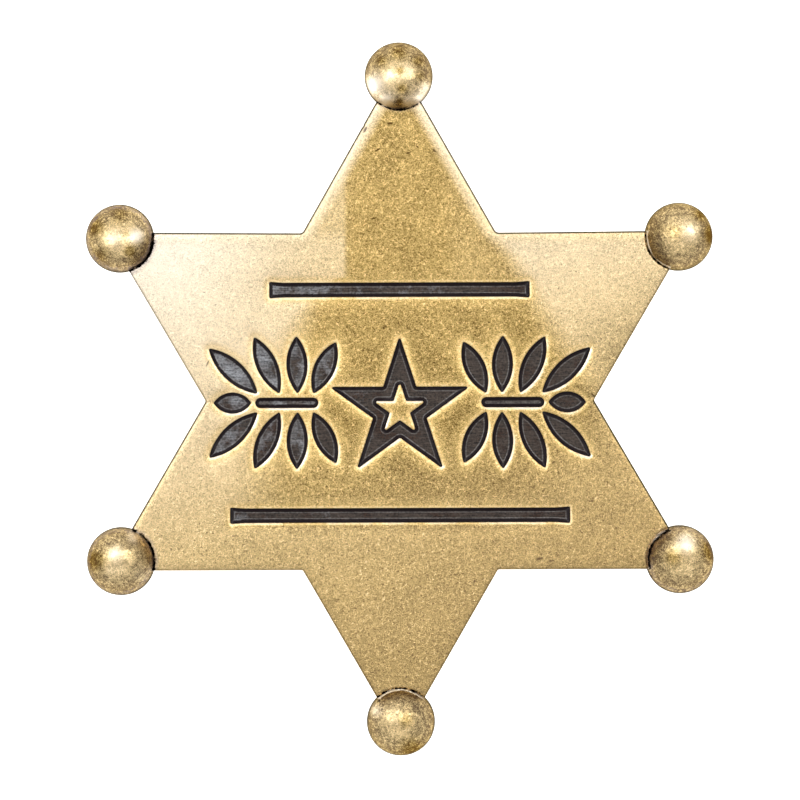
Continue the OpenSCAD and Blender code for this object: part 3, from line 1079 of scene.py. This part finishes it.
# Painted sheen: the face is painted paler and less yellow towards its upper left, where it faces the lights
def addPaintedSheen(tree, at, zone, tone, shine):
    look = brassLook
    notZone = addNode(tree, "MapRange", [zone, 0, look["zoneNotBloom"], 1.0, 0.0])
    paintedSheen = addNode(tree, "Math", [at["sheenRamp"], look["bloomPower"]], "POWER")
    for share in (at["halo"], notZone, at["offBall"], at["front"], at["offArm"], look["bloomShare"]):
        paintedSheen = addNode(tree, "Math", [paintedSheen, share], "MULTIPLY")
    # The painted highlights on the balls go almost white too, the painted shade doesn't
    for name, share in (("paintedLight", look["paintedLightBloom"]), ("onBall", look["ballBloom"])):
        paintedSheen = addNode(tree, "Math", [at[name], share, paintedSheen], "MULTIPLY_ADD")
    paintedSheen = addNode(tree, "Math", [paintedSheen, shine], "MAXIMUM")
    start, end, least = look["clean"]
    clean = addNode(tree, "MapRange", [tone, start, end, 1.0, least])
    paintedSheen = addNode(tree, "Math", [paintedSheen, clean], "MULTIPLY")
    return addNode(tree, "Math", [paintedSheen, 0.0], "MAXIMUM")


def makeBrass():
    # Sheet brass, pressed, blackened in a bath and tumbled: pale metal rubbed bright over brown tone,
    # short curved scratches from the tumbling stones, and black left in every crevice
    # Over this go painted light and shade: a paler, whiter upper left, a darker middle, darker ball flanks
    # and rolled edges, highlights on the ball tips and on the lips of the channels
    material, tree = newMaterial("tumbledAntiqueBrass")
    look = brassLook
    place = placeInMm(tree)
    xyz = addNode(tree, "SeparateXYZ", [place])
    at = {"x": xyz.outputs["X"], "y": xyz.outputs["Y"]}
    at["absX"] = addNode(tree, "Math", [at["x"]], "ABSOLUTE")
    at["absY"] = addNode(tree, "Math", [at["y"]], "ABSOLUTE")
    at["across"] = addNode(tree, "Math", [at["x"], at["y"]], "SUBTRACT")
    at["lean"] = addNode(tree, "VectorMath", [place, look["lean"]], "DOT_PRODUCT").outputs["Value"]
    for name in ("ballGap", "ballEdge", "edgeGap", "edgeFaces", "inkGap", "lipHighlight", "isBack", "soot",
                 "sootAt", "paintedLight"):
        at[name] = addNode(tree, "Attribute", attribute_name=name).outputs["Fac"]
    addListed(tree, look, place, at)

    zone = addPaintedDarkZone(tree, at)
    soil = addSoil(tree, at, place)
    shine, lip = addLipHighlights(tree, at)
    # Painted shade on the flanks of a ball tip, where it would reflect the dark room low down; the stones
    # also reach the crown better than the flanks
    flank = addNode(tree, "Math", [at["flank"], look["flankShade"], at["patch"]], "MULTIPLY_ADD")
    # Painted shade, darker at the lower right than at the upper left, but the ball tips all take one level of
    # it
    slope = addNode(tree, "Mix", {0: at["onBall"], 2: at["slope"], 3: look["ballSlope"]})
    # A little painted shade where the press rolled the edge over
    edgeShade = addNode(tree, "Math", [at["edgeShade"], at["offArm"]], "MULTIPLY")
    edgeShade = addNode(tree, "Math", [edgeShade, at["high"]], "MULTIPLY")
    # Metal drawn down beside the channels gets painted light, except under the lower bar, where it gets
    # painted shade
    strip = addNode(tree, "Math", [at["strip"], at["calm"]], "ADD")
    strip = addNode(tree, "Math", [strip, at["mild"]], "MULTIPLY")
    # Tone: patina and grain, with painted shade (dark middle, ball flanks, lower right, rolled edges, under
    # the lower bar) and painted light (ball tips, beside the channels, lips) added in
    tone = look["plainTone"]
    for amount, share in ((zone, look["zoneTone"]), (flank, at["onBall"]), (at["isBack"], look["backTone"]),
                          (at["paintedLight"], look["paintedLightTone"]), (slope, look["paintedSlopeTone"]), (soil, at["grit"]),
                          (edgeShade, at["offBall"]), (at["beside"], strip), (lip, -1.0),
                          (shine, look["shineTone"])):
        tone = addNode(tree, "Math", [amount, share, tone], "MULTIPLY_ADD")

    ramp = addNode(tree, "ValToRGB", [tone])
    while len(ramp.color_ramp.elements) < len(look["tones"]):
        ramp.color_ramp.elements.new(0.5)
    for stop, (position, colour) in zip(ramp.color_ramp.elements, look["tones"]):
        stop.position = position
        stop.color = fromHex(colour)
    copper = addNode(tree, "Math", [at["pink"], at["offBall"]], "MULTIPLY")
    paintedSheen = addPaintedSheen(tree, at, zone, tone, shine)
    groove, grooveShadow = addGroove(tree, at)
    # Dark line along the cut edge, and at the foot of the ball tips
    whole, gone = look["rimBorder"]
    rim = addNode(tree, "MapRange", [at["edgeGap"], whole, gone, at["line"], 0.0])
    rim = addNode(tree, "Math", [rim, at["offBall"]], "MULTIPLY")
    rim = addNode(tree, "Math", [rim, at["ballEdge"]], "MAXIMUM")
    base = ramp.outputs["Color"]
    for share, colour in ((copper, "copper"), (paintedSheen, "paintedSheen"), (grooveShadow, "grooveShadow"), (rim, "edge"),
                          (groove, "crevice")):
        base = addNode(tree, "Mix", {mixFactor: share, mixA: base, mixB: fromHex(look[colour])},
                       data_type="RGBA").outputs[mixResult]

    rubbed, toned, fullTone = look["roughness"]
    roughness = addNode(tree, "MapRange", [tone, 0, fullTone, rubbed, toned])
    roughness = addNode(tree, "Math", [zone, look["zoneRough"], roughness], "MULTIPLY_ADD")
    bump = addNode(tree, "Bump", {"Height": soil, "Distance": look["bump"] * mm, "Strength": 1.0})
    # Brown film on the metal swallows what would glance off it
    shader = addNode(tree, "BsdfPrincipled", {"Base Color": base, "Metallic": 1.0, "Roughness": roughness,
                                              "Normal": bump, "Specular Tint": fromHex(look["glance"])})
    addNode(tree, "OutputMaterial", {"Surface": shader})
    return material


enamelLook = {
    # floor of the channels, painted paler than the black of the walls to stand in for the light it reflects
    "floor": "#382f29",
    # grey of the painted sheen on the floor
    "floorSheen": "#86888c",
    "worn": "#2e1e15",
    "wall": "#1f181a",
    # pale line of the painted highlight along the foot of the walls
    "foot": "#8b8a88",
    "roughness": 0.17,
    "ior": 1.5,
    "bump": 0.006,               # mm
    "sheenSide": (-0.8, 0.6, 0.0),
    "sheenSpread": 60.0,
    "wipeStretch": (0.9, 9.0, 1.0),
    "footAt": 0.4,               # mm from the wall
    "ragged": 0.25,
    # Noises: size in mm, detail, roughness, distortion
    "noises": {
        "wear": (2.857, 6.0, 0.75, 0.0),
        "cloud": (2.222, 6.0, 0.72, 0.0),
        "mottle": (0.2222, 3.0, 0.7, 0.0),
    },
    "ranges": {"worn": ("wear", 0.5, 0.6, 0.0, 1.0)},
    # Ranges of what is worked out on the way: from, to, value there, value here
    "sheenRange": (36.0, 52.0, 0.0, 0.9),
    "wipedRange": (0.78, 1.22, 0.3, 1.75),
    "footRange": (0.06, 0.0, 0.0, 0.3),
    "floorRange": (0.38, 0.52),
}


def makeEnamel():
    # Cold enamel, poured into the channels and set: glossy black on the walls; its floor painted paler, with
    # a painted grey sheen that stands in for the light it reflects, and brown where it has worn thin
    material, tree = newMaterial("pouredBlackEnamel")
    look = enamelLook
    place = placeInMm(tree)
    gap = addNode(tree, "Attribute", attribute_name="wallGap").outputs["Fac"]
    at = {}
    addListed(tree, look, place, at)
    # Painted sheen, stronger towards the upper left, broken up in clouds
    side = addNode(tree, "VectorMath", [place, look["sheenSide"]], "DOT_PRODUCT").outputs["Value"]
    floorSheen = addNode(tree, "Math", [at["cloud"], look["sheenSpread"], side], "MULTIPLY_ADD")
    # Fine lines left by wiping along the badge, and a fine mottle
    wiped = addNode(tree, "VectorMath", [place, look["wipeStretch"]], "MULTIPLY")
    wiped = addNode(tree, "TexNoise", {"Vector": wiped, "Scale": 1.0, "Detail": 3.0, "Roughness": 0.65})
    wiped = addNode(tree, "Math", [wiped, at["mottle"]], "ADD")
    # Painted highlight, a pale line along the foot of the walls
    foot = addNode(tree, "Math", [gap, look["footAt"]], "SUBTRACT")
    foot = addNode(tree, "Math", [foot], "ABSOLUTE")
    floorSheen, wiped, foot = [
        addNode(tree, "MapRange", [value, start, end, low, high])
        for value, (start, end, low, high) in ((floorSheen, look["sheenRange"]), (wiped, look["wipedRange"]),
                                               (foot, look["footRange"]))]
    foot = addNode(tree, "Math", [foot, wiped], "MULTIPLY")
    ragged = addNode(tree, "Math", [at["mottle"], look["ragged"], gap], "MULTIPLY_ADD")
    start, end = look["floorRange"]
    onFloor = addNode(tree, "MapRange", [ragged, start, end], interpolation_type="SMOOTHSTEP")
    colour = addNode(tree, "Mix", {mixFactor: at["worn"], mixA: fromHex(look["floor"]),
                                   mixB: fromHex(look["worn"])}, data_type="RGBA").outputs[mixResult]
    colour = addNode(tree, "Mix", {mixFactor: floorSheen, mixA: colour, mixB: fromHex(look["floorSheen"])},
                     data_type="RGBA").outputs[mixResult]
    colour = addNode(tree, "VectorMath", {0: colour, "Scale": wiped}, "SCALE")
    colour = addNode(tree, "Mix", {mixFactor: foot, mixA: colour, mixB: fromHex(look["foot"])},
                     data_type="RGBA").outputs[mixResult]
    colour = addNode(tree, "Mix", {mixFactor: onFloor, mixA: fromHex(look["wall"]), mixB: colour},
                     data_type="RGBA").outputs[mixResult]
    bump = addNode(tree, "Bump", {"Height": wiped, "Distance": look["bump"] * mm, "Strength": 1.0})
    shader = addNode(tree, "BsdfPrincipled", {"Base Color": colour, "Roughness": look["roughness"],
                                              "IOR": look["ior"], "Normal": bump})
    addNode(tree, "OutputMaterial", {"Surface": shader})
    return material


nickelLook = {
    "bright": "#cfc9bd",
    "dulled": "#948b7a",
    "roughness": (0.2, 0.4),   # bright, dulled
    "bump": 0.006,             # mm
    "lineStretch": (0.03, 1.0, 1.0),
    "lineSize": 0.12,          # mm, across the rolling lines
    "lineShare": 0.45,
    "dullLess": 0.2,
    "noises": {"clouds": (1.667, 4.0, 0.6, 0.0)},
    "ranges": {"dull": ("clouds", 0.42, 0.68, 0.0, 1.0)},
}


def makeNickel():
    # Steel strip, rolled, pressed and barrel plated with nickel: bright warm grey, fine lines along
    # the strip, and duller yellowish clouds where the plating is thin
    material, tree = newMaterial("barrelPlatedNickel")
    look = nickelLook
    place = placeInMm(tree)
    at = {}
    addListed(tree, look, place, at)
    along = addNode(tree, "VectorMath", [place, look["lineStretch"]], "MULTIPLY")
    lines = addNode(tree, "TexNoise", {"Vector": along, "Scale": 1 / look["lineSize"], "Detail": 3.0,
                                       "Roughness": 0.65})
    dull = addNode(tree, "Math", [lines, look["lineShare"], at["dull"]], "MULTIPLY_ADD")
    dull = addNode(tree, "Math", [dull, look["dullLess"]], "SUBTRACT", use_clamp=True)
    base = addNode(tree, "Mix", {mixFactor: dull, mixA: fromHex(look["bright"]),
                                 mixB: fromHex(look["dulled"])}, data_type="RGBA").outputs[mixResult]
    roughness = addNode(tree, "MapRange", [dull, 0, 1, look["roughness"][0], look["roughness"][1]])
    bump = addNode(tree, "Bump", {"Height": lines, "Distance": look["bump"] * mm, "Strength": 1.0})
    shader = addNode(tree, "BsdfPrincipled", {"Base Color": base, "Metallic": 1.0, "Roughness": roughness,
                                              "Normal": bump})
    addNode(tree, "OutputMaterial", {"Surface": shader})
    return material


def setMaterial(piece, material):
    piece.data.materials.clear()
    piece.data.materials.append(material)


setMaterial(brassStar, makeBrass())
enamelMaterial = makeEnamel()
for piece in enamelPieces:
    setMaterial(piece, enamelMaterial)
setMaterial(pinBar, makeNickel())
print("Materials ready")


# Light table, lights and camera

studio = {
    "floor": "#f4f4f2",
    "floorGlow": 1.05,
    "floorSize": 2.4,
    "zenith": 0.38,
    "flank": 0.85,           # light from half way up
    "horizon": 1.3,
    "horizonFront": 0.75,    # towards the viewer
    "horizonAcross": 0.55,   # darker to the left and right than to the front and back
    "frontEnds": (-0.4, 0.2),
    "acrossEnds": (0.5, 0.95),
    "flankEnds": (0.3, 0.55),
    "zenithEnds": (0.72, 0.92),
    # Softboxes: place and size in metres, strength
    "softboxes": {
        "leftSoftbox": ((-0.19, 0.03, 0.4), (0.1, 0.26), 1.4),
        "rightSoftbox": ((0.14, 0.14, 0.4), (0.18, 0.16), 2.4),
        "backSoftbox": ((-0.06, 0.19, 0.4), (0.26, 0.1), 2.1),
        "upperLeftStrip": ((-0.33, 0.16, 0.44), (0.24, 0.24), 5.0),
        "upperRightStrip": ((0.3, 0.17, 0.46), (0.18, 0.18), 6.0),
        "frontSoftbox": ((0, -0.32, 0.4), (0.4, 0.14), 1.4),
    },
    "sensor": 36,            # mm
    "lens": 200,
    "photoWidth": 800,
    "pixelsPerMm": 10.209,
    "cameraAt": (0.019, -0.107),   # mm from the badge's middle
    "cameraTurn": -0.2,            # degrees
}


def makeFloor():
    mesh = bpy.data.meshes.new("lightTable")
    half = studio["floorSize"] / 2
    mesh.from_pydata([(-half, -half, 0), (half, -half, 0), (half, half, 0), (-half, half, 0)], [],
                     [(0, 1, 2, 3)])
    floor = bpy.data.objects.new("lightTable", mesh)
    bpy.context.collection.objects.link(floor)
    material, tree = newMaterial("opalAcrylic")
    # Opal acrylic sheet, lit from below: an even pale white that takes no hard shadow
    shader = addNode(tree, "BsdfPrincipled", {"Base Color": fromHex(studio["floor"]), "Roughness": 0.5,
                                              "Emission Color": fromHex("#ffffff"),
                                              "Emission Strength": studio["floorGlow"]})
    addNode(tree, "OutputMaterial", {"Surface": shader})
    mesh.materials.append(material)


def makeWorld():
    world = bpy.data.worlds.new("softRoom")
    bpy.context.scene.world = world
    world.use_nodes = True
    tree = world.node_tree
    tree.nodes.clear()
    direction = addNode(tree, "SeparateXYZ", [addNode(tree, "TexCoord").outputs["Generated"]]).outputs
    across = addNode(tree, "Math", [direction["X"]], "ABSOLUTE")
    light = studio["horizonFront"]
    for source, ends, level in ((direction["Y"], "frontEnds", "horizon"),
                                (across, "acrossEnds", "horizonAcross"),
                                (direction["Z"], "flankEnds", "flank"),
                                (direction["Z"], "zenithEnds", "zenith")):
        start, end = studio[ends]
        light = addNode(tree, "MapRange", [source, start, end, light, studio[level]])
    back = addNode(tree, "Background", {"Color": (1, 1, 1, 1), "Strength": light})
    addNode(tree, "OutputWorld", {"Surface": back})


# Softbox that faces the badge
def addSoftbox(name, place, size, strength):
    light = bpy.data.lights.new(name, "AREA")
    light.shape = "RECTANGLE"
    light.size, light.size_y = size
    # Radiance of a flat light is power / (pi * area)
    light.energy = strength * math.pi * size[0] * size[1]
    lamp = bpy.data.objects.new(name, light)
    lamp.location = place
    lamp.rotation_euler = Vector(place).to_track_quat("Z", "Y").to_euler()
    bpy.context.collection.objects.link(lamp)


def makeCamera():
    view = bpy.data.cameras.new("camera")
    view.sensor_width = studio["sensor"]
    view.lens = studio["lens"]
    camera = bpy.data.objects.new("camera", view)
    span = studio["photoWidth"] / studio["pixelsPerMm"]
    away = view.lens / view.sensor_width * span
    x, y = studio["cameraAt"]
    camera.location = Vector((x, y, plate["faceZ"] + away)) * mm
    camera.rotation_euler = (0, 0, math.radians(studio["cameraTurn"]))
    bpy.context.collection.objects.link(camera)
    bpy.context.scene.camera = camera


makeFloor()
makeWorld()
for name, (place, size, strength) in studio["softboxes"].items():
    addSoftbox(name, place, size, strength)
makeCamera()
bpy.context.scene.view_settings.view_transform = "Standard"
print("Studio ready")
